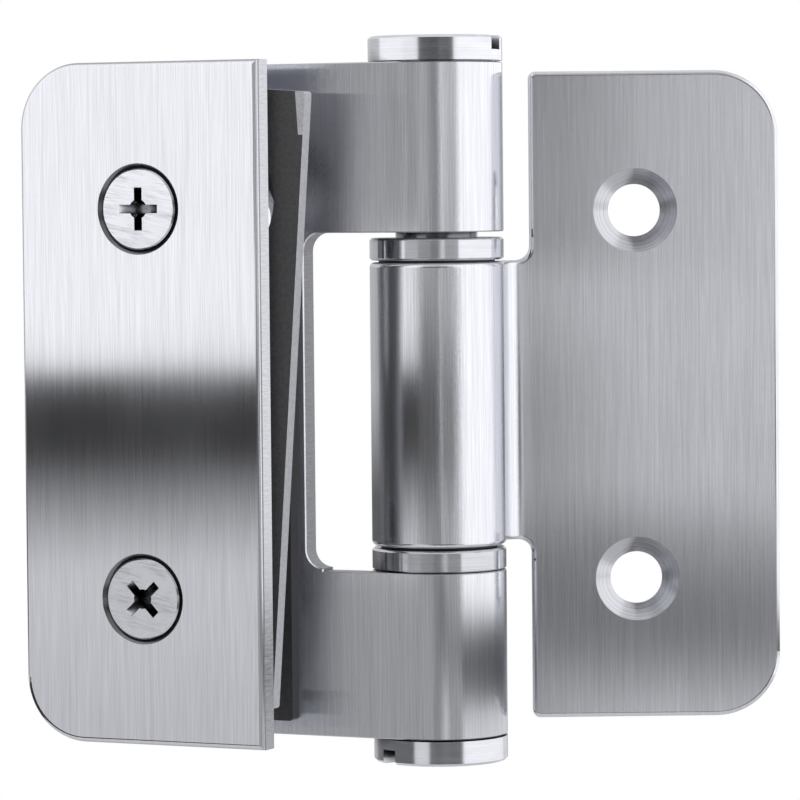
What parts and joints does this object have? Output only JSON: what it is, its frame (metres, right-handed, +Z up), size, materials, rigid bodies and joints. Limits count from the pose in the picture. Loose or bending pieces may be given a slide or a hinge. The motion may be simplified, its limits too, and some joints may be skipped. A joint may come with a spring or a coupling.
{
  "type": "shower door hinge",
  "caption": "Glass-to-wall shower door hinge: a rolled sheet wall leaf and door leaf turn on a slotted pin, and a screwed clamp plate with gaskets grips the glass.",
  "frame": {"origin": "on the wall leaf's back face, midway between its two screw holes", "axes": "+X along the wall away from the pin, +Y into the wall, +Z up along the pin"},
  "size_m": [0.1019, 0.0317, 0.097],
  "materials": {
    "brushed_sheet": "satin, straight brush grain up the leaf",
    "turned_steel": "fine turned lines, half gloss",
    "screw_steel": "machined, half gloss",
    "gasket_sheet": "smooth dark grey sheet with pale cut edges",
    "liner_plastic": "matt black",
    "sleeve_plastic": "matt pale grey"
  },
  "bodies": {
    "wall": {"wall_leaf": "brushed_sheet", "upper_liner": "liner_plastic", "lower_liner": "liner_plastic", "upper_ring": "turned_steel"},
    "door": {"door_leaf": "brushed_sheet", "hinge_pin": "turned_steel", "pin_screw": "turned_steel", "lower_ring": "turned_steel", "clamp_plate": "brushed_sheet", "front_gasket": "gasket_sheet", "rear_gasket": "gasket_sheet", "clamp_screws": "screw_steel", "screw_sleeves": "sleeve_plastic"}
  },
  "joints": [
    {"name": "door_swing", "type": "hinge", "parent": "wall", "child": "door", "pos_m": [-0.0271, -0.009, 0], "axis": [0, 0, 1], "range_deg": [-138, 150]}
  ]
}
